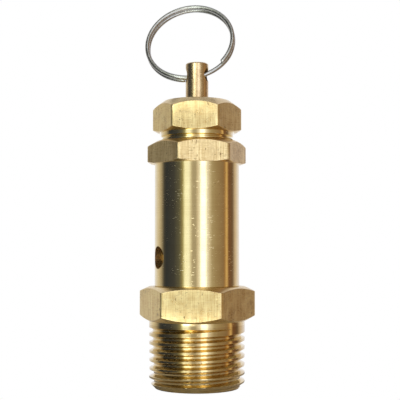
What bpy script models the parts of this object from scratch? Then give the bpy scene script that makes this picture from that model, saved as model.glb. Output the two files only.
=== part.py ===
"""Pressure relief valve with a pull ring: metres, +Z up, standing on its threaded inlet end.

The inlet body screws into the vessel and carries the seat nozzle. The bonnet screws into the body and
holds the spring over a disc with a rubber seal. The adjusting cap screws into the bonnet and sets the
spring, and the lift stem runs through the cap from the disc to the pull ring.
"""

import math

import bmesh
import bpy
from mathutils import Euler, Vector

MM = 0.001
ROUND_STEPS = 32
SMALL_STEPS = 24
THREAD_STEPS = 24
FIXED_THREAD_STEPS = 16
WIRE_STEPS_PER_TURN = 16
SHARP_ANGLE = math.radians(30)

# heights above the inlet end
BODY_HEX_LOW = 14.46 * MM
BODY_TOP = 21.84 * MM
SEAT_Z = 25.0 * MM
VENT_Z = 28.1 * MM
BARREL_LOW = 21.96 * MM
BONNET_HEX_LOW = 48.43 * MM
BONNET_TOP = 53.30 * MM
CAP_HEX_LOW = 55.24 * MM
CAP_TOP = 62.20 * MM
STEM_HOLE_Z = 68.07 * MM
STEM_TOP = 70.65 * MM

# hexes: across flats, and how far the front flat is turned to the right
BODY_ACROSS_FLATS = 22.0 * MM
BODY_HEX_TURN = math.radians(-6.2)
BONNET_ACROSS_FLATS = 19.0 * MM
BONNET_HEX_TURN = math.radians(8.5)
CAP_ACROSS_FLATS = 17.0 * MM
CAP_HEX_TURN = math.radians(-2.8)
CORNER_SPARE = 0.1 * MM

# inlet thread, R 1/2
INLET_PITCH = 1.814 * MM
INLET_START = 0.65 * MM - INLET_PITCH
INLET_GAUGE_RADIUS = 10.4775 * MM
INLET_GAUGE_Z = 8.2 * MM
INLET_TAPER = 1 / 32
INLET_DEPTH = 1.0 * MM
INLET_THREAD_END = 13.1 * MM
INLET_RUNOUT_TURNS = 0.4
INLET_END_RADIUS = 9.0 * MM
INLET_REACH = 0.3 * MM
SHANK_RADIUS = 10.40 * MM
CREST_TAPER = 1 / 110
INLET_BORE = 5.5 * MM
NOZZLE_BORE = 3.9 * MM
NOZZLE_RADIUS = 4.75 * MM

# M16 x 1 threads, bonnet into body and cap into bonnet
FINE_PITCH = 1.0 * MM
MALE_RADIUS = 7.93 * MM
MALE_ROOT = 7.32 * MM
FEMALE_RADIUS = 7.46 * MM
FEMALE_ROOT = 8.1 * MM
FEMALE_RELIEF = 8.15 * MM
FLANK_PLAY = 0.08 * MM
FINE_REACH = 0.3 * MM
FINE_MOUTH_HALF = 0.49 * FINE_PITCH
LEAD_IN = 0.6 * MM
RELIEF_STEP = 0.2 * MM
CAP_THREAD_START = 45.4 * MM
CAP_THREAD_END = 54.25 * MM
CAP_UNDERCUT_Z = 54.12 * MM

# bonnet
BARREL_RADIUS = 9.225 * MM
SPRING_BORE = 6.5 * MM
VENT_RADIUS = 2.425 * MM
VENT_TURN = math.radians(-65)
SPIGOT_LOW = 15.9 * MM

# cap, stem and ring
CAP_NECK_LOW = 47.6 * MM
CAP_BORE = 2.65 * MM
STEM_RADIUS = 2.5 * MM
STEM_TAIL_RADIUS = 1.5 * MM
STEM_SHOULDER_Z = 31.2 * MM
STEM_HOLE_RADIUS = 1.6 * MM
STEM_HOLE_TURN = math.radians(-11)
RING_RADIUS = 9.71 * MM
RING_WIRE_RADIUS = 0.5 * MM
RING_COIL_STEP = 1.1 * MM
RING_START = math.radians(-42)
RING_END = math.radians(623.5)
RING_STEP_FROM = math.radians(252)
RING_STEP_TO = math.radians(333)
RING_AT_STEM = math.radians(279.7)
RING_DROP = 0.34 * MM
RING_LEAN = math.radians(-25.4)
RING_YAW = math.radians(-10.1)

# disc, seal and spring
GUIDE_RADIUS = 6.2 * MM
CUP_RADIUS = 5.85 * MM
CUP_BORE = 5.35 * MM
SPRING_SPIGOT = 4.0 * MM
SPRING_RADIUS = 5.05 * MM
SPRING_WIRE_RADIUS = 0.75 * MM
SPRING_LOW = 28.95 * MM
SPRING_HIGH = 44.9 * MM
SPRING_ACTIVE_TURNS = 4.5
DEAD_COIL_RISE = 1.6 * MM
PLATE_LOW = 45.2 * MM


def clear_scene():
    for item in list(bpy.data.objects):
        bpy.data.objects.remove(item, do_unlink=True)


def material(name, colour, metallic, roughness):
    made = bpy.data.materials.new(name)
    made.use_nodes = True
    shader = made.node_tree.nodes["Principled BSDF"]
    shader.inputs["Base Color"].default_value = (*colour, 1.0)
    shader.inputs["Metallic"].default_value = metallic
    shader.inputs["Roughness"].default_value = roughness
    return made


def add_object(name, mesh):
    made = bpy.data.objects.new(name, mesh)
    bpy.context.scene.collection.objects.link(made)
    return made


def finish(piece, look):
    """Gives a piece its material and smooth shading with sharp machined edges."""
    piece.data.materials.clear()
    piece.data.materials.append(look)
    piece.data.shade_smooth()
    piece.data.set_sharp_from_angle(angle=SHARP_ANGLE)
    return piece


def mesh_from(shape, name):
    bmesh.ops.remove_doubles(shape, verts=shape.verts, dist=0.001 * MM)
    bmesh.ops.recalc_face_normals(shape, faces=shape.faces)
    mesh = bpy.data.meshes.new(name)
    shape.to_mesh(mesh)
    shape.free()
    return mesh


def turned(name, outline, steps=ROUND_STEPS):
    """A lathe-turned piece: an (r, z) outline spun about Z. Points on the axis close the piece."""
    shape = bmesh.new()
    points = [shape.verts.new((r, 0, z)) for r, z in outline]
    edges = [shape.edges.new(pair) for pair in zip(points, points[1:])]
    if outline[0][0] > 0:
        edges.append(shape.edges.new((points[-1], points[0])))
    bmesh.ops.spin(shape, geom=points + edges, cent=(0, 0, 0), axis=(0, 0, 1), angle=math.tau, steps=steps)
    return add_object(name, mesh_from(shape, name))


def cylinder(radius, length, centre, direction, steps=THREAD_STEPS):
    """A plain drill: a cylinder along a direction."""
    shape = bmesh.new()
    bmesh.ops.create_cone(
        shape, cap_ends=True, segments=steps, radius1=radius, radius2=radius, depth=length
    )
    turn = Vector(direction).to_track_quat("Z", "Y").to_matrix()
    bmesh.ops.rotate(shape, verts=shape.verts, cent=(0, 0, 0), matrix=turn)
    bmesh.ops.translate(shape, verts=shape.verts, vec=centre)
    return add_object("drill", mesh_from(shape, "drill"))


def hex_bar(across_flats, turn, low, high):
    """A hexagonal bar whose front flat faces -Y, turned about Z."""
    shape = bmesh.new()
    corner = across_flats / 2 / math.cos(math.radians(30))
    for z in (low, high):
        ring = []
        for k in range(6):
            angle = math.radians(60 * k) + turn
            ring.append(shape.verts.new((corner * math.cos(angle), corner * math.sin(angle), z)))
        shape.faces.new(ring)
    bottom, top = list(shape.faces)
    bmesh.ops.bridge_loops(shape, edges=list(bottom.edges) + list(top.edges))
    return add_object("hex_bar", mesh_from(shape, "hex_bar"))


def groove(pitch, low, high, mouth, root, taper=0.0, runout=0.0, runout_turns=1.0, steps=THREAD_STEPS):
    """A right-hand helical groove cutter. mouth and root are (radius, half width) of its section.

    Over its last runout_turns the cutter draws out by runout.
    """
    shape = bmesh.new()
    count = round((high - low) / pitch * steps)
    previous = None
    for k in range(count + 1):
        angle = math.tau * k / steps
        z = low + pitch * k / steps
        left = min((count - k) / steps / runout_turns, 1)
        out = taper * z + runout * (1 - left) ** 2
        section = []
        for radius, half in (mouth, root):
            for side in (-half, half):
                r = radius + out
                section.append(shape.verts.new((r * math.cos(angle), r * math.sin(angle), z + side)))
        section = [section[0], section[1], section[3], section[2]]
        if previous:
            for a in range(4):
                b = (a + 1) % 4
                shape.faces.new((previous[a], previous[b], section[b], section[a]))
        else:
            shape.faces.new(section)
        previous = section
    shape.faces.new(previous)
    return add_object("groove", mesh_from(shape, "groove"))


def combine(piece, tool, operation):
    """Cuts, trims or joins a piece with a tool, and removes the tool."""
    step = piece.modifiers.new(operation.lower(), "BOOLEAN")
    step.object = tool
    step.operation = operation
    step.solver = "EXACT"
    view = bpy.context.evaluated_depsgraph_get()
    mesh = bpy.data.meshes.new_from_object(piece.evaluated_get(view))
    piece.modifiers.clear()
    piece.data = mesh
    bpy.data.objects.remove(tool, do_unlink=True)


def male_fine_thread(piece, low, high, steps=THREAD_STEPS):
    """Cuts the M16 x 1 male thread: the groove is wider than its mate's ridge by the flank play."""
    root_half = FINE_PITCH / 12 + FLANK_PLAY / 2
    mouth = (MALE_RADIUS + FINE_REACH, FINE_MOUTH_HALF)
    tool = groove(FINE_PITCH, low, high, mouth, (MALE_ROOT, root_half), steps=steps)
    combine(piece, tool, "DIFFERENCE")


def female_fine_thread(piece, low, high, steps=THREAD_STEPS):
    """Cuts the M16 x 1 female thread, half a pitch on from the male groove, so that the two mesh."""
    root_half = FINE_PITCH / 16 + FLANK_PLAY / 2
    mouth = (FEMALE_RADIUS - FINE_REACH, FINE_MOUTH_HALF)
    shift = FINE_PITCH / 2
    tool = groove(FINE_PITCH, low + shift, high + shift, mouth, (FEMALE_ROOT, root_half), steps=steps)
    combine(piece, tool, "DIFFERENCE")


def inlet_body(look):
    corner = BODY_ACROSS_FLATS / 2 / math.cos(math.radians(30)) + CORNER_SPARE
    hex_edge = 10.45 * MM
    low_rise = (corner - hex_edge) * math.tan(math.radians(29))
    top_fall = (corner - hex_edge) * math.tan(math.radians(25))
    end_chamfer = 1.2 * MM
    pocket_floor = 15.2 * MM
    relief_top = 16.0 * MM
    bore_edge = 0.4 * MM
    lip_width = 0.25 * MM
    lip_height = 0.6 * MM
    seat_edge = 0.2 * MM
    bore_end = 11.0 * MM
    cone_end = 12.6 * MM

    piece = turned("inlet_body", [
        (INLET_BORE + bore_edge, 0),
        (INLET_END_RADIUS, 0),
        (SHANK_RADIUS - (INLET_THREAD_END - end_chamfer) * CREST_TAPER, end_chamfer),
        (SHANK_RADIUS, INLET_THREAD_END),
        (SHANK_RADIUS, BODY_HEX_LOW),
        (hex_edge, BODY_HEX_LOW),
        (corner, BODY_HEX_LOW + low_rise),
        (corner, BODY_TOP - top_fall),
        (hex_edge, BODY_TOP),
        (FEMALE_RELIEF, BODY_TOP),
        (FEMALE_RADIUS, BODY_TOP - LEAD_IN),
        (FEMALE_RADIUS, relief_top),
        (FEMALE_RELIEF, relief_top - RELIEF_STEP),
        (FEMALE_RELIEF, pocket_floor),
        (NOZZLE_RADIUS, pocket_floor),
        (NOZZLE_RADIUS, SEAT_Z - lip_height),
        (NOZZLE_RADIUS - lip_width, SEAT_Z),
        (NOZZLE_BORE + seat_edge, SEAT_Z),
        (NOZZLE_BORE, SEAT_Z - seat_edge),
        (NOZZLE_BORE, cone_end),
        (INLET_BORE, bore_end),
        (INLET_BORE, bore_edge),
    ])
    bar = hex_bar(BODY_ACROSS_FLATS, BODY_HEX_TURN, -MM, SEAT_Z + MM)
    combine(piece, bar, "INTERSECT")
    slope = math.tan(math.radians(27.5))
    root_half = 0.19 * MM
    root = INLET_GAUGE_RADIUS - INLET_DEPTH - INLET_GAUGE_Z * INLET_TAPER
    mouth = root + INLET_DEPTH + INLET_REACH
    mouth_half = root_half + slope * (mouth - root)
    tool = groove(
        INLET_PITCH, INLET_START, INLET_THREAD_END, (mouth, mouth_half), (root, root_half),
        taper=INLET_TAPER, runout=INLET_DEPTH, runout_turns=INLET_RUNOUT_TURNS, steps=ROUND_STEPS,
    )
    combine(piece, tool, "DIFFERENCE")
    female_fine_thread(piece, relief_top - FINE_PITCH, BODY_TOP, FIXED_THREAD_STEPS)
    return finish(piece, look)


def bonnet(look):
    corner = BONNET_ACROSS_FLATS / 2 / math.cos(math.radians(30)) + CORNER_SPARE
    land_edge = 8.9 * MM
    top_fall = (corner - land_edge) * math.tan(math.radians(30))
    hex_edge = 9.9 * MM
    low_rise = (corner - hex_edge) * math.tan(math.radians(22))
    relief_low = 45.8 * MM
    thread_low = 46.8 * MM
    counterbore_low = 52.3 * MM
    piece = turned("bonnet", [
        (SPRING_BORE, SPIGOT_LOW),
        (MALE_ROOT, SPIGOT_LOW),
        (MALE_RADIUS, SPIGOT_LOW + LEAD_IN),
        (MALE_RADIUS, BARREL_LOW - 1.3 * MM),
        (MALE_ROOT, BARREL_LOW - 1.0 * MM),
        (MALE_ROOT, BARREL_LOW),
        (BARREL_RADIUS, BARREL_LOW),
        (BARREL_RADIUS, BONNET_HEX_LOW),
        (hex_edge, BONNET_HEX_LOW),
        (corner, BONNET_HEX_LOW + low_rise),
        (corner, BONNET_TOP - top_fall),
        (land_edge, BONNET_TOP),
        (FEMALE_RELIEF, BONNET_TOP),
        (FEMALE_RELIEF, counterbore_low),
        (FEMALE_RADIUS, counterbore_low - LEAD_IN),
        (FEMALE_RADIUS, thread_low),
        (FEMALE_RELIEF, thread_low - RELIEF_STEP),
        (FEMALE_RELIEF, relief_low),
        (SPRING_BORE, relief_low),
    ])
    bar = hex_bar(BONNET_ACROSS_FLATS, BONNET_HEX_TURN, SPIGOT_LOW - MM, BONNET_TOP + MM)
    combine(piece, bar, "INTERSECT")
    across = (math.sin(VENT_TURN), -math.cos(VENT_TURN), 0)
    combine(piece, cylinder(VENT_RADIUS, 4 * BARREL_RADIUS, (0, 0, VENT_Z), across), "DIFFERENCE")
    male_fine_thread(piece, SPIGOT_LOW - FINE_PITCH * 0.9, BARREL_LOW - 0.6 * MM, FIXED_THREAD_STEPS)
    female_fine_thread(piece, CAP_THREAD_START, counterbore_low)
    return finish(piece, look)


def adjusting_cap(look):
    corner = CAP_ACROSS_FLATS / 2 / math.cos(math.radians(30)) + CORNER_SPARE
    top_edge = 7.2 * MM
    low_edge = 8.35 * MM
    undercut_radius = 7.5 * MM
    undercut_mouth_half = 0.28 * MM
    undercut_root_half = 0.1 * MM
    bore_edge = 0.25 * MM
    piece = turned("adjusting_cap", [
        (CAP_BORE, CAP_NECK_LOW),
        (MALE_ROOT, CAP_NECK_LOW),
        (MALE_RADIUS, CAP_NECK_LOW + LEAD_IN),
        (MALE_RADIUS, CAP_UNDERCUT_Z - undercut_mouth_half),
        (undercut_radius, CAP_UNDERCUT_Z - undercut_root_half),
        (undercut_radius, CAP_UNDERCUT_Z + undercut_root_half),
        (MALE_RADIUS, CAP_UNDERCUT_Z + undercut_mouth_half),
        (MALE_RADIUS, CAP_HEX_LOW),
        (low_edge, CAP_HEX_LOW),
        (corner, CAP_HEX_LOW + (corner - low_edge) * math.tan(math.radians(27))),
        (corner, CAP_TOP - (corner - top_edge) * math.tan(math.radians(36))),
        (top_edge, CAP_TOP),
        (CAP_BORE + bore_edge, CAP_TOP),
        (CAP_BORE, CAP_TOP - bore_edge),
    ])
    bar = hex_bar(CAP_ACROSS_FLATS, CAP_HEX_TURN, CAP_NECK_LOW - MM, CAP_TOP + MM)
    combine(piece, bar, "INTERSECT")
    male_fine_thread(piece, CAP_THREAD_START, CAP_THREAD_END)
    return finish(piece, look)


def lift_stem(look):
    groove_low = 27.9 * MM
    groove_high = 28.7 * MM
    groove_radius = 1.15 * MM
    edge = 0.3 * MM
    piece = turned("lift_stem", [
        (0, 27.4 * MM),
        (STEM_TAIL_RADIUS, 27.4 * MM),
        (STEM_TAIL_RADIUS, groove_low),
        (groove_radius, groove_low),
        (groove_radius, groove_high),
        (STEM_TAIL_RADIUS, groove_high),
        (STEM_TAIL_RADIUS, STEM_SHOULDER_Z),
        (STEM_RADIUS, STEM_SHOULDER_Z),
        (STEM_RADIUS, STEM_TOP - edge),
        (STEM_RADIUS - edge, STEM_TOP),
        (0, STEM_TOP),
    ], SMALL_STEPS)
    across = (math.cos(STEM_HOLE_TURN), math.sin(STEM_HOLE_TURN), 0)
    combine(piece, cylinder(STEM_HOLE_RADIUS, 4 * STEM_RADIUS, (0, 0, STEM_HOLE_Z), across), "DIFFERENCE")
    return finish(piece, look)


def disc_holder(look):
    return finish(turned("disc_holder", [
        (CUP_BORE, 24.1 * MM),
        (CUP_RADIUS, 24.1 * MM),
        (CUP_RADIUS, 27.5 * MM),
        (GUIDE_RADIUS, 27.5 * MM),
        (GUIDE_RADIUS, 28.65 * MM),
        (SPRING_SPIGOT, 28.65 * MM),
        (SPRING_SPIGOT, 30.7 * MM),
        (SPRING_SPIGOT - 0.3 * MM, 31.0 * MM),
        (STEM_TAIL_RADIUS + 0.15 * MM, 31.0 * MM),
        (STEM_TAIL_RADIUS + 0.15 * MM, 29.2 * MM),
        (3.3 * MM, 29.2 * MM),
        (3.3 * MM, 27.1 * MM),
        (CUP_BORE, 27.1 * MM),
        (CUP_BORE, 25.1 * MM),
        (CUP_BORE + 0.25 * MM, 25.1 * MM),
        (CUP_BORE + 0.25 * MM, 24.5 * MM),
        (CUP_BORE, 24.5 * MM),
    ], SMALL_STEPS), look)


def seat_seal(look):
    return finish(turned("seat_seal", [
        (0, SEAT_Z + 0.15 * MM),
        (5.2 * MM, SEAT_Z + 0.15 * MM),
        (5.2 * MM, 26.95 * MM),
        (0, 26.95 * MM),
    ], SMALL_STEPS), look)


def seal_retainer(look):
    return finish(turned("seal_retainer", [
        (4.95 * MM, 24.6 * MM),
        (5.5 * MM, 24.6 * MM),
        (5.5 * MM, 25.0 * MM),
        (4.95 * MM, 25.0 * MM),
    ], SMALL_STEPS), look)


def stem_clip(look):
    """A retaining clip: a flat ring open on one side, seated in the groove at the stem's tail."""
    piece = turned("stem_clip", [
        (1.25 * MM, 28.0 * MM),
        (3.0 * MM, 28.0 * MM),
        (3.0 * MM, 28.6 * MM),
        (1.25 * MM, 28.6 * MM),
    ], SMALL_STEPS)
    slot = bmesh.new()
    bmesh.ops.create_cube(slot, size=1.0)
    bmesh.ops.scale(slot, verts=slot.verts, vec=(4 * MM, 2 * MM, 2 * MM))
    bmesh.ops.translate(slot, verts=slot.verts, vec=(2.1 * MM, 0, 28.3 * MM))
    combine(piece, add_object("slot", mesh_from(slot, "slot")), "DIFFERENCE")
    return finish(piece, look)


def stem_washer(look):
    return finish(turned("stem_washer", [
        (1.65 * MM, 28.8 * MM),
        (2.9 * MM, 28.8 * MM),
        (2.9 * MM, 29.1 * MM),
        (1.65 * MM, 29.1 * MM),
    ], SMALL_STEPS), look)


def spring_plate(look):
    return finish(turned("spring_plate", [
        (2.75 * MM, PLATE_LOW - 1.3 * MM),
        (SPRING_SPIGOT - 0.3 * MM, PLATE_LOW - 1.3 * MM),
        (SPRING_SPIGOT, PLATE_LOW - MM),
        (SPRING_SPIGOT, PLATE_LOW),
        (GUIDE_RADIUS, PLATE_LOW),
        (GUIDE_RADIUS, 47.3 * MM),
        (2.75 * MM, 47.3 * MM),
    ], SMALL_STEPS), look)


def wire(name, points, radius):
    """A round wire along a path, with flat cut ends."""
    curve = bpy.data.curves.new(name, "CURVE")
    curve.dimensions = "3D"
    curve.bevel_depth = radius
    curve.bevel_resolution = 2
    curve.use_fill_caps = True
    path = curve.splines.new("POLY")
    path.points.add(len(points) - 1)
    for spot, point in zip(path.points, points):
        spot.co = (*point, 1.0)
    made = add_object(name, curve)
    view = bpy.context.evaluated_depsgraph_get()
    shape = bmesh.new()
    shape.from_mesh(made.evaluated_get(view).to_mesh())
    bpy.data.objects.remove(made, do_unlink=True)
    return add_object(name, mesh_from(shape, name))


def main_spring(look):
    """A compression spring: one dead coil at each end and open coils between them."""
    turns = SPRING_ACTIVE_TURNS + 2
    centre_low = SPRING_LOW + SPRING_WIRE_RADIUS
    centre_high = SPRING_HIGH - SPRING_WIRE_RADIUS
    active_rise = (centre_high - centre_low - 2 * DEAD_COIL_RISE) / SPRING_ACTIVE_TURNS
    points = []
    for k in range(round(turns * WIRE_STEPS_PER_TURN) + 1):
        turn = k / WIRE_STEPS_PER_TURN
        dead = min(turn, 1) + max(turn - turns + 1, 0)
        z = centre_low + dead * DEAD_COIL_RISE + (turn - dead) * active_rise
        angle = math.tau * turn
        points.append((SPRING_RADIUS * math.cos(angle), SPRING_RADIUS * math.sin(angle), z))
    return finish(wire("main_spring", points, SPRING_WIRE_RADIUS), look)


def pull_ring(look):
    """A split ring of almost two coils, with one strand through the stem's cross hole.

    Its own X and Z lie in the ring's plane. The strand steps from the front coil to the back one
    where it passes the stem, so that the origin, in the hole, is on the axis that it swings about.
    """
    def step_back(angle):
        share = (angle - RING_STEP_FROM) / (RING_STEP_TO - RING_STEP_FROM)
        return RING_COIL_STEP * (min(max(share, 0), 1) - 0.5)

    centre_x = -RING_RADIUS * math.cos(RING_AT_STEM)
    centre_z = -RING_RADIUS * math.sin(RING_AT_STEM) - RING_DROP
    centre_y = -step_back(RING_AT_STEM)
    steps = 60
    points = []
    for k in range(steps + 1):
        angle = RING_START + (RING_END - RING_START) * k / steps
        points.append((
            centre_x + RING_RADIUS * math.cos(angle),
            centre_y + step_back(angle),
            centre_z + RING_RADIUS * math.sin(angle),
        ))
    piece = finish(wire("pull_ring", points, RING_WIRE_RADIUS), look)
    piece.location = (0, 0, STEM_HOLE_Z)
    piece.rotation_mode = "ZYX"
    piece.rotation_euler = Euler((RING_LEAN, 0, RING_YAW), "ZYX")
    return piece


def main():
    clear_scene()
    brass = material("brass", (0.72, 0.55, 0.27), 1.0, 0.26)
    bright_brass = material("turned_brass", (0.78, 0.60, 0.30), 1.0, 0.18)
    spring_steel = material("spring_steel", (0.45, 0.45, 0.46), 1.0, 0.35)
    nickel = material("nickel", (0.72, 0.71, 0.68), 1.0, 0.16)
    rubber = material("rubber", (0.02, 0.02, 0.02), 0.0, 0.6)
    inlet_body(brass)
    bonnet(brass)
    adjusting_cap(brass)
    lift_stem(bright_brass)
    disc_holder(bright_brass)
    seat_seal(rubber)
    seal_retainer(bright_brass)
    stem_clip(spring_steel)
    stem_washer(spring_steel)
    main_spring(spring_steel)
    spring_plate(bright_brass)
    pull_ring(nickel)


main()
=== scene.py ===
"""Looks of a pressure relief valve: turned and drawn brass, a split ring and a soft white studio."""

import math
from collections import namedtuple

import bmesh
import bpy
import numpy as np
from mathutils import Euler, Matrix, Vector


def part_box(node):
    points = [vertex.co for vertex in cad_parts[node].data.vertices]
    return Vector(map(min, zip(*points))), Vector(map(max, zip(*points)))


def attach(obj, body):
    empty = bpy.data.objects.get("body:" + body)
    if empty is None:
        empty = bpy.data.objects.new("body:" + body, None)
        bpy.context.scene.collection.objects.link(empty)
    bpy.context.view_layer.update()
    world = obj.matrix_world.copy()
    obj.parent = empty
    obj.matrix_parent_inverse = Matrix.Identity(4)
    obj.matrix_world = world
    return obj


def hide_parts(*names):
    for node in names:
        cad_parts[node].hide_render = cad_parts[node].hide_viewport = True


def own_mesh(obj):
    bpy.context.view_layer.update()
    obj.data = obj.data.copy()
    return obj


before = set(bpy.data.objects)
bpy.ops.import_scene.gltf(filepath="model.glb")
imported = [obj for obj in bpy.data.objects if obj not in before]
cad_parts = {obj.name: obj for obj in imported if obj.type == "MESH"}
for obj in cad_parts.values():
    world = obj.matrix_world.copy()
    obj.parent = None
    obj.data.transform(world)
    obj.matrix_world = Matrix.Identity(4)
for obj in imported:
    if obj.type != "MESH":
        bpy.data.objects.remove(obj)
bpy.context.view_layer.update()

MM = 0.001

# steps round each turned piece, whose seam is at the back, +Y, and the radii of its softened edges
ROUND_STEPS = 240
FINE_STEPS = 144
CLIP_STEPS = 96
SEAM_ANGLE = math.radians(90)
SHARP_ANGLE = math.radians(38)
EDGE = 0.09 * MM
STEM_EDGE = 0.06 * MM
SMALL_EDGE = 0.07 * MM
CLIP_EDGE = 0.05 * MM

# heights above the inlet end
BORE_STEP_LOW = 11.0 * MM
BORE_STEP_HIGH = 12.6 * MM
BODY_HEX_LOW = 14.46 * MM
SOCKET_FLOOR = 15.2 * MM
SPIGOT_LOW = 15.9 * MM
BODY_TOP = 21.84 * MM
BARREL_LOW = 21.86 * MM
SEAT_Z = 25.0 * MM
VENT_Z = 28.1 * MM
SPRING_BORE_TOP = 45.8 * MM
CAP_NECK_LOW = 47.6 * MM
BONNET_HEX_LOW = 48.43 * MM
BONNET_TOP = 53.30 * MM
UNDERCUT_Z = 54.12 * MM
CAP_HEX_LOW = 55.24 * MM
CAP_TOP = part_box("adjusting_cap")[1][2]
STEM_HOLE_Z = 68.07 * MM
STEM_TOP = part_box("lift_stem")[1][2]

# hexes: across flats, how far the front flat is turned to the right, and the chamfers' inner radii and slopes
CORNER_SOFTNESS = 0.16 * MM
CORNER_SPREAD = np.radians([0.12, 0.3, 0.5, 0.75, 1.05, 1.45, 2.0])
BODY_FLATS = 22.0 * MM
BODY_TURN = math.radians(-6.2)
BODY_UNDERSIDE = (10.45 * MM, math.radians(29))
BODY_CROWN = (10.45 * MM, math.radians(25))
BONNET_FLATS = 19.0 * MM
BONNET_TURN = math.radians(8.5)
BONNET_UNDERSIDE = (9.9 * MM, math.radians(22))
BONNET_CROWN = (8.9 * MM, math.radians(30))
CAP_FLATS = 17.0 * MM
CAP_TURN = math.radians(-2.8)
CAP_UNDERSIDE = (8.35 * MM, math.radians(27))
CAP_CROWN = (7.2 * MM, math.radians(36))

# the body, the bonnet and the cap; ROWS are heights in millimetres of extra points along a plain side
SHANK_RADIUS = 10.40 * MM
INLET_END_RADIUS = 9.0 * MM
INLET_END_SLOPE = 0.95
INLET_END_SOFTNESS = 0.05 * MM
INLET_BORE = 5.5 * MM
INLET_MOUTH = 5.9 * MM
NOZZLE_RADIUS = 4.75 * MM
NOZZLE_BORE = 3.9 * MM
SOCKET_RADIUS = 8.15 * MM
SPIGOT_RADIUS = 7.9 * MM
BARREL_RADIUS = 9.225 * MM
BARREL_ROWS = (22.4, 25, 31, 36, 40, 44, 47.6)
SPRING_BORE = 6.5 * MM
CAP_SOCKET_RADIUS = 8.1 * MM
CAP_BORE = 2.65 * MM
VENT_RADIUS = 2.425 * MM
VENT_TURN = math.radians(-65)
VENT_DRILL_STEPS = 96

# threads: phase is a groove's height at angle 0, and the groove runs out over its last turns, up to end
Thread = namedtuple("Thread", "pitch phase root_half flank depth end runout_turns softness row")
INLET_THREAD = Thread(
    pitch=1.814 * MM, phase=0.65 * MM, root_half=0.19 * MM, flank=math.tan(math.radians(27.5)),
    depth=1.0 * MM, end=13.1 * MM, runout_turns=0.4, softness=0.012 * MM, row=0.04 * MM,
)
INLET_GAUGE_RADIUS = 10.4775 * MM
INLET_GAUGE_Z = 8.2 * MM
INLET_TAPER = 1 / 32
CREST_TAPER = 1 / 110
CAP_THREAD = Thread(
    pitch=1.0 * MM, phase=0.40 * MM, root_half=0.1 * MM, flank=0.42,
    depth=0.61 * MM, end=54.25 * MM, runout_turns=1.0, softness=0.04 * MM, row=0.07 * MM,
)
CAP_THREAD_RADIUS = 7.93 * MM
UNDERCUT_RADIUS = 7.5 * MM
UNDERCUT_HALF = 0.08 * MM
UNDERCUT_SLOPE = 2.2

# the stem and its clip
STEM_RADIUS = 2.5 * MM
STEM_BREAK = 0.25 * MM
STEM_ROWS = (36, 42, 48, 54, 60, 64, 66)
STEM_SHOULDER_Z = 31.2 * MM
STEM_TAIL_LOW = 27.4 * MM
STEM_TAIL_RADIUS = 1.5 * MM
CLIP_GROOVE_RADIUS = 1.15 * MM
CLIP_GROOVE_LOW = 27.9 * MM
CLIP_GROOVE_HIGH = 28.7 * MM
STEM_HOLE_RADIUS = 1.6 * MM
STEM_HOLE_TURN = math.radians(-11)
STEM_DRILL_STEPS = 64
CLIP_BORE = 1.25 * MM
CLIP_RADIUS = 3.0 * MM
CLIP_LOW = 28.0 * MM
CLIP_HIGH = 28.6 * MM
CLIP_SLOT = (4 * MM, 2 * MM, 2 * MM)
CLIP_SLOT_PLACE = (2.1 * MM, 0, 28.3 * MM)

# the spring
SPRING_RADIUS = 5.05 * MM
SPRING_WIRE_RADIUS = 0.75 * MM
SPRING_LOW = 28.95 * MM
SPRING_HIGH = 44.9 * MM
SPRING_ACTIVE_TURNS = 4.5
DEAD_COIL_RISE = 1.6 * MM
SPRING_STEPS_PER_TURN = 48
SPRING_SIDES = 16

# the split ring
RING_RADIUS = 9.71 * MM
RING_WIRE_RADIUS = 0.5 * MM
RING_COIL_STEP = 1.1 * MM
RING_START = math.radians(-42)
RING_END = math.radians(623.5)
RING_STEP_FROM = math.radians(252)
RING_STEP_TO = math.radians(333)
RING_AT_STEM = math.radians(279.7)
RING_DROP = 0.34 * MM
RING_LEAN = math.radians(-25.4)
RING_YAW = math.radians(-10.1)
RING_STEPS = 620
RING_SIDES = 28

# the studio: compass angles run round the valve from the front, -Y, and are positive to the right
FLOOR_RADIUS = 30 * MM
FLOOR_DROP = 0.05 * MM
FLOOR_COLOUR = (0.52, 0.49, 0.45)
FLOOR_ROUGHNESS = 0.9
WHITE = (1, 1, 1, 1)
LAMP_COMPASS = math.radians(-20)
LAMP_HALF_WIDTH = math.radians(24)
LAMP_FULL_WIDTH = math.radians(6)
LAMP_GAIN = 2.6
OVERHEAD_GAIN = -0.35
SENSOR_WIDTH = 36.0
LENS = 84.4
NEAREST_SEEN = 5 * MM
CAMERA_PLACE = (0.66 * MM, -204.74 * MM, 30.25 * MM)
CAMERA_TILT = math.radians(92.9)


# ---------------------------------------------------------------- shapes


def even_angles(steps):
    """Angles round a plain turned piece."""
    return SEAM_ANGLE + np.linspace(0, math.tau, steps, endpoint=False)


def hex_angles(turn):
    """Even angles round the piece, with extra ones where a hex corner turns."""
    angles = list(np.linspace(0, math.tau, ROUND_STEPS, endpoint=False))
    for k in range(6):
        corner = (math.radians(-60 + 60 * k) + turn - SEAM_ANGLE) % math.tau
        angles += [(corner + side) % math.tau for side in (0.0, *CORNER_SPREAD, *-CORNER_SPREAD)]
    return SEAM_ANGLE + np.unique(np.round(angles, 6))


def hex_radius(angles, across_flats, turn):
    """Distance from the axis to a hex bar's side at each angle, with its corners slightly rounded."""
    flat = across_flats / 2
    off = (angles - turn + math.radians(90) + math.radians(30)) % math.radians(60) - math.radians(30)
    near = flat / np.cos(off)
    far = flat / np.cos(math.radians(60) - np.abs(off))
    both = np.exp((flat - near) / CORNER_SOFTNESS) + np.exp((flat - far) / CORNER_SOFTNESS)
    return flat - CORNER_SOFTNESS * np.log(both)


def soft_clamp(value, low, high, softness):
    """Clamps an array between two limits with rounded knees."""
    value = low + softness * np.logaddexp(0, (value - low) / softness)
    return high - softness * np.logaddexp(0, (high - value) / softness)


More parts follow.
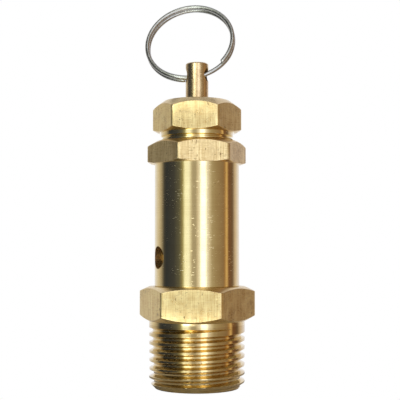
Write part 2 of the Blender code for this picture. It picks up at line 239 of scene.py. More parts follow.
def thread_radius(angles, z, thread, root, crest):
    """Radius of a right-hand thread at each angle and one height."""
    place = (z - thread.phase) / thread.pitch - angles / math.tau
    nearest = np.round(place)
    away = np.abs(place - nearest) * thread.pitch
    groove_z = (nearest + angles / math.tau) * thread.pitch + thread.phase
    left = np.minimum((thread.end - groove_z) / thread.pitch / thread.runout_turns, 1)
    past_end = np.where(left < 0, 5 * thread.depth, 0.0)
    lift = thread.depth * (1 - left) ** 2 + past_end
    return soft_clamp(root + lift + (away - thread.root_half) / thread.flank, root, crest, thread.softness)


def outline_at(angles, points):
    """Stacks (r, z) points, each a number or one number per angle, into one array."""
    columns = [np.stack(np.broadcast_arrays(r, z, angles)[:2], -1) for r, z in points]
    return np.stack(columns, 1)


def rounded(outline, keep, radius=EDGE, closed=True):
    """Rounds an outline's corners, except where keep is True. Also returns each new point's source."""
    count = outline.shape[1]
    columns, source = [], []
    for i in range(count):
        here = outline[:, i]
        if keep[i] or (not closed and i in (0, count - 1)):
            columns.append(here)
            source.append(i)
            continue
        before = outline[:, i - 1] - here
        after = outline[:, (i + 1) % count] - here
        length_before = np.linalg.norm(before, axis=1, keepdims=True)
        length_after = np.linalg.norm(after, axis=1, keepdims=True)
        reach = np.minimum(radius, 0.42 * np.minimum(length_before, length_after))
        first = here + before / length_before * reach
        last = here + after / length_after * reach
        for share in (0.0, 0.3, 0.5, 0.7, 1.0):
            columns.append((1 - share) ** 2 * first + 2 * share * (1 - share) * here + share ** 2 * last)
            source.append(i)
    return np.stack(columns, 1), source


def zone_outline(angles, points):
    """Rounds an outline of (r, z, zone, keep) points. Also returns each new point's zone."""
    outline = outline_at(angles, [(r, z) for r, z, _, _ in points])
    smooth, source = rounded(outline, [keep for _, _, _, keep in points])
    return smooth, [points[item][2] for item in source]


def add_object(name, mesh):
    """Puts a mesh, or a camera, into the scene."""
    made = bpy.data.objects.new(name, mesh)
    bpy.context.scene.collection.objects.link(made)
    return made


def object_from(shape, name):
    """Turns a bmesh into a new object."""
    mesh = bpy.data.meshes.new(name)
    shape.to_mesh(mesh)
    shape.free()
    return add_object(name, mesh)


def lathe(name, looks, angles, outline, closed=True, zones=None):
    """Skins an outline round Z. zones gives each outline point the material of the face after it."""
    steps, count = outline.shape[:2]
    direction = np.stack([np.cos(angles), np.sin(angles)], -1)
    points = np.concatenate([outline[:, :, :1] * direction[:, None], outline[:, :, 1:]], -1).reshape(-1, 3)
    last = count if closed else count - 1
    i, k = np.meshgrid(np.arange(steps), np.arange(last), indexing="ij")
    i2, k2 = (i + 1) % steps, (k + 1) % count
    faces = np.stack([i * count + k, i2 * count + k, i2 * count + k2, i * count + k2], -1).reshape(-1, 4)
    mesh = bpy.data.meshes.new(name)
    mesh.from_pydata(points.tolist(), [], faces.tolist())
    for look in looks:
        mesh.materials.append(look)
    run = np.concatenate([[0], np.cumsum(np.linalg.norm(np.diff(outline[0], axis=0), axis=1))])
    run = np.append(run, run[-1] + np.linalg.norm(outline[0][0] - outline[0][-1]))
    reach = np.append(angles, angles[0] + math.tau) * outline[:, :, 0].max()
    across = np.stack([reach[i], reach[i + 1], reach[i + 1], reach[i]], -1).reshape(-1)
    along = np.stack([run[k], run[k], run[k + 1], run[k + 1]], -1).reshape(-1)
    layer = mesh.uv_layers.new(name="UVMap")
    layer.data.foreach_set("uv", (np.stack([across, along], -1) / MM).astype(np.float32).reshape(-1))
    if zones is not None:
        spots = np.array(zones[:last])[k].reshape(-1)
        mesh.polygons.foreach_set("material_index", spots.astype(np.int32))
    shape = bmesh.new()
    shape.from_mesh(mesh)
    bmesh.ops.remove_doubles(shape, verts=shape.verts, dist=0.0005 * MM)
    bmesh.ops.dissolve_degenerate(shape, edges=shape.edges, dist=0.0002 * MM)
    bmesh.ops.recalc_face_normals(shape, faces=shape.faces)
    shape.to_mesh(mesh)
    shape.free()
    return add_object(name, mesh)


def drill(radius, length, centre, direction, steps):
    """A round cutter."""
    shape = bmesh.new()
    bmesh.ops.create_cone(shape, cap_ends=True, segments=steps, radius1=radius, radius2=radius, depth=length)
    turn = Vector(direction).to_track_quat("Z", "Y").to_matrix()
    bmesh.ops.rotate(shape, verts=shape.verts, cent=(0, 0, 0), matrix=turn)
    bmesh.ops.translate(shape, verts=shape.verts, vec=centre)
    return object_from(shape, "drill")


def cut(piece, tool):
    """Takes a cutter out of a piece, and removes the cutter."""
    step = piece.modifiers.new("cut", "BOOLEAN")
    step.object = tool
    step.operation = "DIFFERENCE"
    step.solver = "EXACT"
    view = bpy.context.evaluated_depsgraph_get()
    mesh = bpy.data.meshes.new_from_object(piece.evaluated_get(view))
    piece.modifiers.clear()
    piece.data = mesh
    bpy.data.objects.remove(tool, do_unlink=True)


def sweep(name, look, path, radii, across, up, sides):
    """Skins a wire along a path. across and up are the unit vectors of each point's section."""
    count = len(path)
    turn = np.linspace(0, math.tau, sides, endpoint=False)
    ring = (
        path[:, None]
        + (radii[:, None] * np.cos(turn))[..., None] * across[:, None]
        + (radii[:, None] * np.sin(turn))[..., None] * up[:, None]
    )
    points = np.concatenate([ring.reshape(-1, 3), path[:1], path[-1:]])
    faces = []
    for i in range(count - 1):
        for k in range(sides):
            j = (k + 1) % sides
            faces.append((i * sides + k, i * sides + j, (i + 1) * sides + j, (i + 1) * sides + k))
    for k in range(sides):
        j = (k + 1) % sides
        faces.append((count * sides, j, k))
        faces.append((count * sides + 1, (count - 1) * sides + k, (count - 1) * sides + j))
    mesh = bpy.data.meshes.new(name)
    mesh.from_pydata(points.tolist(), [], faces)
    mesh.materials.append(look)
    run = np.concatenate([[0], np.cumsum(np.linalg.norm(np.diff(path, axis=0), axis=1))]) / MM
    width = radii.max() / MM
    uv = []
    for face in faces:
        spot = [min(v // sides, count - 1) for v in face]
        side = [v % sides for v in face]
        wrapped = max(side) - min(side) > sides / 2
        for i, k in zip(spot, side):
            uv += [(k + sides * (wrapped and k < sides / 2)) / sides * math.tau * width, run[i]]
    mesh.uv_layers.new(name="UVMap").data.foreach_set("uv", np.array(uv, dtype=np.float32))
    shape = bmesh.new()
    shape.from_mesh(mesh)
    bmesh.ops.recalc_face_normals(shape, faces=shape.faces)
    shape.to_mesh(mesh)
    shape.free()
    return add_object(name, mesh)


# ------------------------------------------------------------- materials


class Nodes:
    """A short way to build a tree of shader nodes."""

    def __init__(self, tree):
        self.tree = tree

    def add(self, kind, **settings):
        node = self.tree.nodes.new(kind)
        for key, value in settings.items():
            setattr(node, key, value)
        return node

    def link(self, start, end):
        self.tree.links.new(start, end)

    def put(self, target, value):
        if hasattr(value, "is_linked"):
            self.link(value, target)
        else:
            target.default_value = value

    def math(self, operation, a, b=0.0):
        node = self.add("ShaderNodeMath", operation=operation)
        self.put(node.inputs[0], a)
        self.put(node.inputs[1], b)
        return node.outputs[0]

    def span(self, value, low, high, to_low=0.0, to_high=1.0, way="LINEAR"):
        """Maps a value from one range to another, held at the ends."""
        node = self.add("ShaderNodeMapRange", interpolation_type=way)
        self.put(node.inputs["Value"], value)
        for key, number in (("From Min", low), ("From Max", high), ("To Min", to_low), ("To Max", to_high)):
            node.inputs[key].default_value = number
        return node.outputs["Result"]

    def seen_or_mirrored(self, seen, mirrored):
        """One shader where the camera sees a thing itself, and another where the brass mirrors it."""
        path = self.add("ShaderNodeLightPath")
        choose = self.add("ShaderNodeMixShader")
        self.link(path.outputs["Is Camera Ray"], choose.inputs["Fac"])
        self.link(mirrored, choose.inputs[1])
        self.link(seen, choose.inputs[2])
        return choose.outputs[0]


class Look(Nodes):
    """A material whose colour, roughness and bump come from nodes."""

    def __init__(self, name):
        self.material = bpy.data.materials.new(name)
        self.material.use_nodes = True
        super().__init__(self.material.node_tree)
        self.shader = self.tree.nodes["Principled BSDF"]

    def place(self, kind="Object", scale=(1, 1, 1), turn=(0, 0, 0)):
        """Object or UV coordinates, in millimetres, turned and scaled."""
        source = self.add("ShaderNodeTexCoord").outputs[kind]
        factor = 1000 if kind == "Object" else 1
        node = self.add("ShaderNodeMapping")
        self.link(source, node.inputs["Vector"])
        node.inputs["Rotation"].default_value = turn
        node.inputs["Scale"].default_value = [s * factor for s in scale]
        return node.outputs["Vector"]

    def noise(self, vector, scale, detail, rough):
        node = self.add("ShaderNodeTexNoise")
        self.link(vector, node.inputs["Vector"])
        node.inputs["Scale"].default_value = scale
        node.inputs["Detail"].default_value = detail
        node.inputs["Roughness"].default_value = rough
        return node.outputs["Fac"]

    def lines(self, stretch, detail, rough):
        """Noise stretched along the UV directions, as a tool or a drawing die leaves it."""
        return self.noise(self.place("UV", (*stretch, 1.0)), 1.0, detail, rough)

    def scratches(self, turn, scale, stretch, low, high):
        """Thin sparse lines along one direction: stretched noise, kept only at its peaks."""
        vector = self.place("UV", (scale, scale * stretch, scale), (0, 0, math.radians(turn)))
        return self.span(self.noise(vector, 1.0, 1.0, 0.4), low, high)

    def total(self, *parts):
        """Adds values, each with its weight."""
        weighted = [self.math("MULTIPLY", value, weight) for value, weight in parts]
        result = weighted[0]
        for value in weighted[1:]:
            result = self.math("ADD", result, value)
        return result

    def mix(self, factor, a, b):
        node = self.add("ShaderNodeMix", data_type="RGBA")
        self.put(node.inputs["Factor"], factor)
        colours = [s for s in node.inputs if s.type == "RGBA"]
        self.put(colours[0], a if hasattr(a, "is_linked") else (*a, 1.0))
        self.put(colours[1], b if hasattr(b, "is_linked") else (*b, 1.0))
        return [s for s in node.outputs if s.type == "RGBA"][0]

    def stained(self, colour, mask, strength, stain):
        """A colour with another laid over it where the mask is 1."""
        return self.mix(self.math("MULTIPLY", mask, strength), colour, stain)

    def bump(self, height, distance, after=None):
        node = self.add("ShaderNodeBump")
        self.link(height, node.inputs["Height"])
        node.inputs["Distance"].default_value = distance
        if after is not None:
            self.link(after, node.inputs["Normal"])
        return node.outputs["Normal"]

    def finish(self, colour, roughness, normal, metallic=1.0):
        self.put(self.shader.inputs["Base Color"], colour)
        self.put(self.shader.inputs["Roughness"], roughness)
        self.shader.inputs["Metallic"].default_value = metallic
        self.link(normal, self.shader.inputs["Normal"])
        return self.material


def turned_brass(name, light, dark, marks, mark_depth, roughness, grain_depth, scratch_level=0.70):
    """Turned brass: tool marks along one way, a slight waviness, thin scratches, specks and dust."""
    n = Look(name)
    surface = n.place()
    cloud = n.noise(surface, 0.35, 4.0, 0.6)
    speckle = n.noise(surface, 3.4, 3.0, 0.7)
    tool_marks = n.lines(marks, 4.0, 0.65)
    specks = n.span(n.noise(surface, 2.3, 2.0, 0.5), 0.70, 0.76)
    dust = n.span(n.noise(surface, 1.3, 1.0, 0.4), 0.765, 0.78)
    rising = n.scratches(28, 0.7, 14, scratch_level, scratch_level + 0.05)
    falling = n.scratches(-41, 0.55, 16, scratch_level + 0.01, scratch_level + 0.06)
    worn_areas = n.span(n.noise(surface, 0.22, 1.0, 0.4), 0.47, 0.56)
    scratched = n.math("MULTIPLY", n.math("MAXIMUM", rising, falling), worn_areas)
    colour = n.mix(n.span(n.total((cloud, 0.55), (tool_marks, 0.45)), 0.36, 0.64), dark, light)
    colour = n.stained(colour, specks, 0.45, (0.20, 0.13, 0.06))
    colour = n.stained(colour, scratched, 0.35, (0.95, 0.88, 0.66))
    dulled = n.math("MULTIPLY", n.math("MAXIMUM", scratched, dust), 0.35)
    rough = n.math("ADD", n.span(speckle, 0.3, 0.7, roughness * 0.75, roughness * 1.3), dulled)
    waviness = n.noise(n.place("Object", (2.0, 2.0, 0.6)), 1.0, 3.0, 0.6)
    normal = n.bump(tool_marks, mark_depth)
    normal = n.bump(speckle, grain_depth, after=normal)
    normal = n.bump(waviness, grain_depth * 14, after=normal)
    normal = n.bump(scratched, 0.006 * MM, after=normal)
    return n.finish(colour, rough, normal)


def drawn_brass(name, dark, light, roughness, anisotropy):
    """Drawn bar: lines along the bar, a faint weave across them, dark nicks, scratches and stain."""
    n = Look(name)
    surface = n.place()
    fine = n.lines((3.2, 0.09), 4.0, 0.75)
    broad = n.lines((0.8, 0.04), 2.0, 0.6)
    weave = n.lines((0.35, 4.2), 3.0, 0.7)
    cloud = n.noise(surface, 0.45, 5.0, 0.7)
    shade = n.total((fine, 0.5), (broad, 0.1), (weave, 0.2), (cloud, 0.2))
    nicks = n.span(n.lines((2.6, 0.8), 2.0, 0.5), 0.655, 0.70)
    nicks = n.math("MAXIMUM", nicks, n.scratches(24, 0.9, 9, 0.69, 0.73))
    nicks = n.math("MULTIPLY", nicks, n.span(n.noise(surface, 0.3, 2.0, 0.5), 0.40, 0.54))
    stain = n.span(n.noise(surface, 0.30, 6.0, 0.75), 0.53, 0.66)
    bright = n.scratches(-36, 0.6, 14, 0.70, 0.75)
    colour = n.mix(n.span(shade, 0.42, 0.58), dark, light)
    colour = n.stained(colour, stain, 0.4, (0.40, 0.27, 0.12))
    colour = n.stained(colour, nicks, 0.85, (0.22, 0.13, 0.05))
    colour = n.stained(colour, bright, 0.5, (1.0, 0.92, 0.66))
    normal = n.bump(fine, 0.010 * MM)
    normal = n.bump(weave, 0.004 * MM, after=normal)
    normal = n.bump(cloud, 0.006 * MM, after=normal)
    normal = n.bump(nicks, -0.02 * MM, after=normal)
    n.shader.inputs["Anisotropic"].default_value = anisotropy
    return n.finish(colour, n.span(cloud, 0.3, 0.7, roughness * 0.87, roughness * 1.13), normal)


def nickel():
    """Nickel-plated wire: faint drawing lines and a few dark pits."""
    n = Look("nickel_wire")
    surface = n.place()
    drawn = n.lines((5.0, 0.25), 3.0, 0.6)
    cloud = n.noise(surface, 0.8, 3.0, 0.6)
    pits = n.span(n.noise(surface, 3.0, 2.0, 0.5), 0.72, 0.78)
    colour = n.mix(n.span(cloud, 0.3, 0.7), (0.42, 0.425, 0.380), (0.60, 0.605, 0.545))
    colour = n.stained(colour, pits, 0.5, (0.16, 0.14, 0.12))
    rough = n.span(cloud, 0.3, 0.7, 0.27, 0.36)
    normal = n.bump(drawn, 0.001 * MM)
    normal = n.bump(n.noise(surface, 1.2, 2.0, 0.5), 0.001 * MM, after=normal)
    return n.finish(colour, rough, normal)


def spring_steel():
    """Dark drawn wire and plate."""
    n = Look("drawn_spring_steel")
    drawn = n.lines((6.0, 0.2), 3.0, 0.6)
    cloud = n.noise(n.place(), 0.7, 4.0, 0.65)
    colour = n.mix(n.span(cloud, 0.3, 0.7), (0.16, 0.15, 0.14), (0.34, 0.33, 0.31))
    rough = n.span(drawn, 0.3, 0.7, 0.30, 0.44)
    return n.finish(colour, rough, n.bump(drawn, 0.01 * MM))


def rubber():
    """Black moulded rubber with a fine grain."""
    n = Look("moulded_rubber")
    surface = n.place()
    grain = n.noise(surface, 5.0, 4.0, 0.7)
    cloud = n.noise(surface, 0.5, 3.0, 0.6)
    colour = n.mix(n.span(cloud, 0.3, 0.7), (0.012, 0.012, 0.013), (0.032, 0.031, 0.03))
    rough = n.span(grain, 0.3, 0.7, 0.5, 0.68)
    return n.finish(colour, rough, n.bump(grain, 0.01 * MM), metallic=0.0)


TURNED = turned_brass(
    "brass_turned", light=(0.90, 0.76, 0.41), dark=(0.80, 0.65, 0.33), marks=(0.03, 7.0),
    mark_depth=0.0002 * MM, roughness=0.07, grain_depth=0.0003 * MM,
)
STEM_BRASS = turned_brass(
    "brass_stem", light=(0.84, 0.67, 0.37), dark=(0.62, 0.45, 0.23), marks=(1.2, 0.6),
    mark_depth=0.005 * MM, roughness=0.27, grain_depth=0.0015 * MM,
)
INSIDE = turned_brass(
    "brass_bored", light=(0.88, 0.67, 0.35), dark=(0.70, 0.50, 0.25), marks=(0.05, 9.0),
    mark_depth=0.004 * MM, roughness=0.30, grain_depth=0.002 * MM,
)
THREADED = turned_brass(
    "brass_threaded", light=(0.84, 0.69, 0.36), dark=(0.64, 0.48, 0.22), marks=(0.04, 6.0),
    mark_depth=0.0002 * MM, roughness=0.08, grain_depth=0.00005 * MM, scratch_level=0.74,
)
FACED = turned_brass(
    "brass_faced", light=(0.84, 0.67, 0.34), dark=(0.66, 0.49, 0.23), marks=(0.03, 5.0),
    mark_depth=0.002 * MM, roughness=0.32, grain_depth=0.001 * MM,
)
DRAWN = drawn_brass(
    "brass_drawn", dark=(0.70, 0.50, 0.20), light=(1.0, 0.85, 0.42), roughness=0.30, anisotropy=0.6,
)
DRAWN_DULL = drawn_brass(
    "brass_drawn_dull", dark=(0.58, 0.42, 0.18), light=(0.92, 0.76, 0.40), roughness=0.40, anisotropy=0.3,
)
NICKEL = nickel()
STEEL = spring_steel()
RUBBER = rubber()

# the zones of a brass piece, in the order of its materials
IN, TURN, FLAT, THREAD, FACE = range(5)
BRASS_SET = (INSIDE, TURNED, DRAWN, THREADED, FACED)
BONNET_SET = (INSIDE, TURNED, DRAWN_DULL, THREADED, FACED)


def dress(piece, body, node):
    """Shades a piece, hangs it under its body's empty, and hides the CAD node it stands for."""
    piece.data.shade_smooth()
    piece.data.set_sharp_from_angle(angle=SHARP_ANGLE)
    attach(piece, body)
    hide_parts(node)


# ---------------------------------------------------------------- pieces


def hex_rows(side, low, underside, high, crown):
    """A hex's underside chamfer, its flat and its top chamfer, as outline points."""
    low_edge, low_slope = underside
    high_edge, high_slope = crown
    rise = (side - low_edge) * math.tan(low_slope)
    fall = (side - high_edge) * math.tan(high_slope)
    return [
        (low_edge, low, FACE, False),
        (side, low + rise, FLAT, False),
        (side, high - fall, FACE, False),
        (high_edge, high, FACE, False),
    ]


def inlet_row(angles, z):
    """The inlet's radius at one height: tapered roots, nearly parallel crests and a chamfered end."""
    root = INLET_GAUGE_RADIUS - INLET_THREAD.depth + (z - INLET_GAUGE_Z) * INLET_TAPER
    crest = SHANK_RADIUS - max(INLET_THREAD.end - z, 0) * CREST_TAPER
    radius = thread_radius(angles, z, INLET_THREAD, root, crest)
    chamfer = INLET_END_RADIUS + z * INLET_END_SLOPE
    smaller = np.logaddexp(-radius / INLET_END_SOFTNESS, -chamfer / INLET_END_SOFTNESS)
    return -INLET_END_SOFTNESS * smaller


def make_inlet_body():
    """The hex, its threaded inlet below, and the nozzle in its socket above."""
    angles = hex_angles(BODY_TURN)
    side = hex_radius(angles, BODY_FLATS, BODY_TURN)
    points = [(INLET_MOUTH, 0.0, TURN, False), (INLET_END_RADIUS - 0.25 * MM, 0.0, THREAD, False)]
    for z in np.arange(INLET_THREAD.row, INLET_THREAD.end + 0.5 * MM, INLET_THREAD.row):
        points.append((inlet_row(angles, z), z, THREAD, True))
    points += [
        (SHANK_RADIUS, INLET_THREAD.end + 0.6 * MM, TURN, True),
        (SHANK_RADIUS, BODY_HEX_LOW, TURN, False),
    ]
    points += hex_rows(side, BODY_HEX_LOW, BODY_UNDERSIDE, BODY_TOP, BODY_CROWN)
    points += [
        (SOCKET_RADIUS, BODY_TOP, IN, False),
        (SOCKET_RADIUS, SOCKET_FLOOR, IN, False),
        (NOZZLE_RADIUS, SOCKET_FLOOR, IN, False),
        (NOZZLE_RADIUS, SEAT_Z - 0.6 * MM, IN, False),
        (NOZZLE_RADIUS - 0.25 * MM, SEAT_Z, TURN, False),
        (NOZZLE_BORE + 0.2 * MM, SEAT_Z, IN, False),
        (NOZZLE_BORE, SEAT_Z - 0.2 * MM, IN, False),
        (NOZZLE_BORE, BORE_STEP_HIGH, IN, False),
        (INLET_BORE, BORE_STEP_LOW, IN, False),
        (INLET_BORE, INLET_MOUTH - INLET_BORE, IN, False),
    ]
    outline, zones = zone_outline(angles, points)
    piece = lathe("inlet_body_brass", BRASS_SET, angles, outline, zones=zones)
    dress(piece, "valve_body", "inlet_body")


def make_bonnet():
    """The barrel with its hex collar, and the vents drilled through both sides."""
    angles = hex_angles(BONNET_TURN)
    side = hex_radius(angles, BONNET_FLATS, BONNET_TURN)
    under_edge, under_slope = BONNET_UNDERSIDE
    land, crown_slope = BONNET_CROWN
    rise = np.maximum(side - under_edge, 0) * math.tan(under_slope)
    fall = (side - land) * math.tan(crown_slope)
    points = [
        (SPRING_BORE, SPIGOT_LOW, IN, False),
        (SPIGOT_RADIUS, SPIGOT_LOW, IN, False),
        (SPIGOT_RADIUS, BARREL_LOW, TURN, True),
        (BARREL_RADIUS, BARREL_LOW, TURN, False),
    ]
    points += [(BARREL_RADIUS, z * MM, TURN, True) for z in BARREL_ROWS]
    points += [
        (BARREL_RADIUS, BONNET_HEX_LOW, FACE, False),
        (np.minimum(side - 0.02 * MM, under_edge), BONNET_HEX_LOW, FACE, True),
        (side, BONNET_HEX_LOW + rise, FLAT, True),
        (side, BONNET_TOP - fall, FACE, False),
        (land, BONNET_TOP, FACE, False),
        (CAP_SOCKET_RADIUS, BONNET_TOP, IN, False),
        (CAP_SOCKET_RADIUS, SPRING_BORE_TOP, IN, False),
        (SPRING_BORE, SPRING_BORE_TOP, IN, False),
    ]
    outline, zones = zone_outline(angles, points)
    piece = lathe("bonnet_brass", BONNET_SET, angles, outline, zones=zones)
    across = (math.sin(VENT_TURN), -math.cos(VENT_TURN), 0)
    cut(piece, drill(VENT_RADIUS, 40 * MM, (0, 0, VENT_Z), across, VENT_DRILL_STEPS))
    dress(piece, "valve_body", "bonnet")


def cap_neck_row(angles, z):
    """The cap's radius at one height of its neck: the thread, its chamfered end and the undercut."""
    root = CAP_THREAD_RADIUS - CAP_THREAD.depth
    radius = thread_radius(angles, z, CAP_THREAD, root, CAP_THREAD_RADIUS)
    chamfer = root + (z - CAP_NECK_LOW)
    undercut = UNDERCUT_RADIUS + np.maximum(abs(z - UNDERCUT_Z) - UNDERCUT_HALF, 0) * UNDERCUT_SLOPE
    return np.minimum(np.minimum(radius, chamfer), undercut)


def make_cap():
    """The adjusting cap: a hex over a threaded neck."""
    angles = hex_angles(CAP_TURN)
    side = hex_radius(angles, CAP_FLATS, CAP_TURN)
    points = [
        (CAP_BORE, CAP_NECK_LOW, IN, False),
        (CAP_THREAD_RADIUS - CAP_THREAD.depth, CAP_NECK_LOW, THREAD, False),
    ]
    for z in np.arange(CAP_NECK_LOW + 0.1 * MM, CAP_HEX_LOW - 0.02 * MM, CAP_THREAD.row):
        points.append((cap_neck_row(angles, z), z, THREAD if z < BONNET_TOP else TURN, True))
    points += hex_rows(side, CAP_HEX_LOW, CAP_UNDERSIDE, CAP_TOP, CAP_CROWN)
    points += [(CAP_BORE + 0.25 * MM, CAP_TOP, IN, False), (CAP_BORE, CAP_TOP - 0.25 * MM, IN, False)]
    outline, zones = zone_outline(angles, points)
    piece = lathe("adjusting_cap_brass", BRASS_SET, angles, outline, zones=zones)
    dress(piece, "cap", "adjusting_cap")


def make_stem():
    """The lift stem, with a clip groove in its tail and the ring's hole near its top."""
    angles = even_angles(FINE_STEPS)
    low = [
        (0.0, STEM_TAIL_LOW),
        (STEM_TAIL_RADIUS, STEM_TAIL_LOW),
        (STEM_TAIL_RADIUS, CLIP_GROOVE_LOW),
        (CLIP_GROOVE_RADIUS, CLIP_GROOVE_LOW),
        (CLIP_GROOVE_RADIUS, CLIP_GROOVE_HIGH),
        (STEM_TAIL_RADIUS, CLIP_GROOVE_HIGH),
        (STEM_TAIL_RADIUS, STEM_SHOULDER_Z),
        (STEM_RADIUS, STEM_SHOULDER_Z),
    ]
    rows = [(STEM_RADIUS, z * MM) for z in STEM_ROWS]
    top = [(STEM_RADIUS, STEM_TOP - STEM_BREAK), (STEM_RADIUS - STEM_BREAK, STEM_TOP), (0.0, STEM_TOP)]
    outline = outline_at(angles, low + rows + top)
    keep = [False] * len(low) + [True] * len(rows) + [False] * len(top)
    outline, _ = rounded(outline, keep, STEM_EDGE, closed=False)
    piece = lathe("lift_stem_brass", (STEM_BRASS,), angles, outline, closed=False)
    across = (math.cos(STEM_HOLE_TURN), math.sin(STEM_HOLE_TURN), 0)
    cut(piece, drill(STEM_HOLE_RADIUS, 12 * MM, (0, 0, STEM_HOLE_Z), across, STEM_DRILL_STEPS))
    dress(piece, "stem", "lift_stem")


def make_small(name, node, body, look, points, closed=True):
    """A small turned piece with softened edges. Its points are in millimetres."""
    angles = even_angles(FINE_STEPS)
    outline = outline_at(angles, [(r * MM, z * MM) for r, z in points])
    keep = [r == 0 for r, _ in points]
    outline, _ = rounded(outline, keep, SMALL_EDGE, closed=closed)
    piece = lathe(name, (look,), angles, outline, closed=closed)
    dress(piece, body, node)


def make_insides():
    make_small("disc_holder_brass", "disc_holder", "disc", TURNED, [
        (5.35, 24.1), (5.85, 24.1), (5.85, 27.5), (6.2, 27.5), (6.2, 28.65), (4.0, 28.65), (4.0, 30.7),
        (3.7, 31.0), (1.65, 31.0), (1.65, 29.2), (3.3, 29.2), (3.3, 27.1), (5.35, 27.1), (5.35, 25.1),
        (5.6, 25.1), (5.6, 24.5), (5.35, 24.5),
    ])
    make_small("seat_seal_rubber", "seat_seal", "disc", RUBBER, [
        (0, 25.15), (2.0, 25.15), (5.2, 25.15), (5.2, 26.95), (0, 26.95),
    ], closed=False)
    make_small("seal_retainer_ring", "seal_retainer", "disc", TURNED, [
        (4.95, 24.6), (5.5, 24.6), (5.5, 25.0), (4.95, 25.0),
    ])
    make_small("stem_washer_steel", "stem_washer", "stem", STEEL, [
        (1.65, 28.8), (2.9, 28.8), (2.9, 29.1), (1.65, 29.1),
    ])
    make_small("spring_plate_brass", "spring_plate", "upper_plate", TURNED, [
        (2.75, 43.9), (3.7, 43.9), (4.0, 44.2), (4.0, 45.2), (6.2, 45.2), (6.2, 47.3), (2.75, 47.3),
    ])


def make_clip():
    """An open clip in the stem's groove."""
    angles = even_angles(CLIP_STEPS)
    points = [(CLIP_BORE, CLIP_LOW), (CLIP_RADIUS, CLIP_LOW), (CLIP_RADIUS, CLIP_HIGH), (CLIP_BORE, CLIP_HIGH)]
    outline, _ = rounded(outline_at(angles, points), [False] * len(points), CLIP_EDGE)
    piece = lathe("stem_clip_steel", (STEEL,), angles, outline)
    shape = bmesh.new()
    bmesh.ops.create_cube(shape, size=1.0)
    bmesh.ops.scale(shape, verts=shape.verts, vec=CLIP_SLOT)
    bmesh.ops.translate(shape, verts=shape.verts, vec=CLIP_SLOT_PLACE)
    cut(piece, object_from(shape, "slot"))
    dress(piece, "stem", "stem_clip")


def make_spring():
    """A coil with one dead turn at each end, between the disc holder and the plate."""
    low, high = SPRING_LOW + SPRING_WIRE_RADIUS, SPRING_HIGH - SPRING_WIRE_RADIUS
    turns = SPRING_ACTIVE_TURNS + 2
    turn = np.linspace(0, turns, int(turns * SPRING_STEPS_PER_TURN) + 1)
    dead = np.minimum(turn, 1) + np.maximum(turn - turns + 1, 0)
    active_rise = (high - low - 2 * DEAD_COIL_RISE) / SPRING_ACTIVE_TURNS
    z = low + dead * DEAD_COIL_RISE + (turn - dead) * active_rise
    angle = math.tau * turn
    out = np.stack([np.cos(angle), np.sin(angle), 0 * angle], -1)
    path = SPRING_RADIUS * out + np.stack([0 * z, 0 * z, z], -1)
    up = np.tile([0.0, 0.0, 1.0], (len(path), 1))
    radii = np.full(len(path), SPRING_WIRE_RADIUS)
    piece = sweep("main_spring_steel", STEEL, path, radii, out, up, SPRING_SIDES)
    dress(piece, "valve_body", "main_spring")
    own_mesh(piece)


def make_ring():
    """A split ring of almost two coils: it steps from one coil to the other where it passes the stem."""
    angle = np.linspace(RING_START, RING_END, RING_STEPS)
    share = np.clip((angle - RING_STEP_FROM) / (RING_STEP_TO - RING_STEP_FROM), 0, 1)
    at_stem = (RING_AT_STEM - RING_STEP_FROM) / (RING_STEP_TO - RING_STEP_FROM)
    x = RING_RADIUS * (np.cos(angle) - math.cos(RING_AT_STEM))
    z = RING_RADIUS * (np.sin(angle) - math.sin(RING_AT_STEM)) - RING_DROP
    y = RING_COIL_STEP * (share - at_stem)
    turn = np.array(Euler((RING_LEAN, 0, RING_YAW), "ZYX").to_matrix())
    out = np.stack([np.cos(angle), 0 * angle, np.sin(angle)], -1) @ turn.T
    up = np.tile(np.array([0.0, 1.0, 0.0]) @ turn.T, (len(angle), 1))
    path = np.stack([x, y, z], -1) @ turn.T + np.array([0, 0, STEM_HOLE_Z])
    from_end = np.minimum(np.arange(len(angle)), np.arange(len(angle))[::-1])
    radii = RING_WIRE_RADIUS * (1 - 0.25 * np.clip(1 - from_end / 1.5, 0, 1) ** 2)
    piece = sweep("pull_ring_nickel", NICKEL, path, radii, out, up, RING_SIDES)
    dress(piece, "ring", "pull_ring")


# ----------------------------------------------------------------- studio

# the studio's walls: compass angle in degrees, and brightness there in red, green and blue
WALLS = [
    (-180, (1.00, 1.03, 1.15)),
    (-145, (0.82, 0.82, 0.90)),
    (-125, (0.68, 0.63, 0.58)),
    (-112, (0.42, 0.38, 0.35)),
    (-105, (0.20, 0.185, 0.175)),
    (-99, (0.060, 0.062, 0.075)),
    (-90, (0.036, 0.043, 0.066)),
    (-64, (0.057, 0.061, 0.078)),
    (-48, (0.125, 0.128, 0.115)),
    (-40, (0.29, 0.27, 0.17)),
    (-37, (0.52, 0.51, 0.34)),
    (-32, (1.15, 1.22, 1.20)),
    (-22, (1.12, 1.22, 1.30)),
    (-17, (0.85, 0.84, 0.80)),
    (-12, (0.48, 0.44, 0.40)),
    (-3, (0.45, 0.42, 0.38)),
    (2, (0.76, 0.70, 0.69)),
    (8, (1.00, 1.05, 1.20)),
    (12, (2.0, 2.05, 2.4)),
    (22, (2.0, 2.05, 2.4)),
    (27, (1.00, 1.05, 1.25)),
    (34, (0.72, 0.67, 0.65)),
    (41, (0.45, 0.39, 0.31)),
    (52, (0.375, 0.30, 0.215)),
    (76, (0.29, 0.20, 0.135)),
    (81, (0.37, 0.22, 0.11)),
    (88, (0.76, 0.54, 0.29)),
    (95, (0.20, 0.10, 0.06)),
    (112, (0.17, 0.115, 0.085)),
    (126, (0.65, 0.55, 0.51)),
    (143, (0.82, 0.80, 0.95)),
    (180, (1.00, 1.03, 1.15)),
]


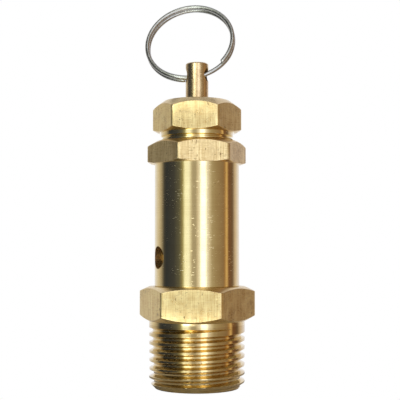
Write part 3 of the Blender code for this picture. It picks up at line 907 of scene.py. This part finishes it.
def wall_colours(n, compass):
    """The walls' brightness at a compass angle, as a colour ramp all the way round."""
    ramp = n.add("ShaderNodeValToRGB")
    n.link(n.span(compass, -math.pi, math.pi), ramp.inputs["Fac"])
    stops = ramp.color_ramp.elements
    while len(stops) > 1:
        stops.remove(stops[0])
    for k, (degrees, colour) in enumerate(WALLS):
        spot = (degrees + 180) / 360
        stop = stops[0] if k == 0 else stops.new(spot)
        stop.position = spot
        stop.color = (*colour, 1)
    return ramp.outputs["Color"]


def lamp_strength(n, height, compass):
    """One strip of the walls is brighter above and below eye level, and the room is darker overhead."""
    def fade(value, start, end):
        return n.span(value, start, end, way="SMOOTHSTEP")

    level = n.math("ABSOLUTE", height)
    off_level = n.math("MULTIPLY", fade(level, 0.13, 0.25), fade(level, 0.62, 0.42))
    off_side = n.math("ABSOLUTE", n.math("SUBTRACT", compass, LAMP_COMPASS))
    near = fade(off_side, LAMP_HALF_WIDTH, LAMP_FULL_WIDTH)
    lamp = n.math("MULTIPLY", n.math("MULTIPLY", off_level, near), LAMP_GAIN)
    overhead = n.math("MULTIPLY", fade(height, 0.70, 0.95), OVERHEAD_GAIN)
    return n.math("MULTIPLY", n.math("ADD", lamp, 1.0), n.math("ADD", overhead, 1.0))


def make_world():
    """Walls for the brass to mirror and be lit by, and plain white for the camera."""
    world = bpy.data.worlds.new("studio")
    bpy.context.scene.world = world
    world.use_nodes = True
    world.node_tree.nodes.clear()
    n = Nodes(world.node_tree)
    direction = n.add("ShaderNodeSeparateXYZ")
    n.link(n.add("ShaderNodeTexCoord").outputs["Generated"], direction.inputs[0])
    x, y, z = direction.outputs
    compass = n.math("ARCTAN2", x, n.math("MULTIPLY", y, -1))
    room = n.add("ShaderNodeBackground")
    n.link(wall_colours(n, compass), room.inputs["Color"])
    n.link(lamp_strength(n, z, compass), room.inputs["Strength"])
    white = n.add("ShaderNodeBackground")
    white.inputs["Color"].default_value = WHITE
    white.inputs["Strength"].default_value = 1.0
    both = n.seen_or_mirrored(white.outputs[0], room.outputs[0])
    n.link(both, n.add("ShaderNodeOutputWorld").inputs["Surface"])


def make_floor():
    """A small round of pale paper, so that the lower threads mirror the walls more than the floor."""
    shape = bmesh.new()
    bmesh.ops.create_circle(shape, cap_ends=True, segments=96, radius=FLOOR_RADIUS)
    floor = object_from(shape, "floor")
    floor.location = (0, 0, -FLOOR_DROP)
    n = Look("white_paper")
    n.shader.inputs["Base Color"].default_value = (*FLOOR_COLOUR, 1)
    n.shader.inputs["Roughness"].default_value = FLOOR_ROUGHNESS
    white = n.add("ShaderNodeEmission")
    white.inputs["Color"].default_value = WHITE
    white.inputs["Strength"].default_value = 1.0
    both = n.seen_or_mirrored(white.outputs[0], n.shader.outputs[0])
    n.link(both, n.tree.nodes["Material Output"].inputs["Surface"])
    floor.data.materials.append(n.material)


def make_camera():
    """An 84 mm lens close in front of the valve, looking up a little."""
    data = bpy.data.cameras.new("camera")
    data.sensor_width = SENSOR_WIDTH
    data.lens = LENS
    data.clip_start = NEAREST_SEEN
    camera = add_object("camera", data)
    camera.location = CAMERA_PLACE
    camera.rotation_euler = (CAMERA_TILT, 0, 0)
    bpy.context.scene.camera = camera


make_inlet_body()
make_bonnet()
make_cap()
make_stem()
make_insides()
make_clip()
make_spring()
make_ring()
make_world()
make_floor()
make_camera()
bpy.context.scene.view_settings.view_transform = "Standard"
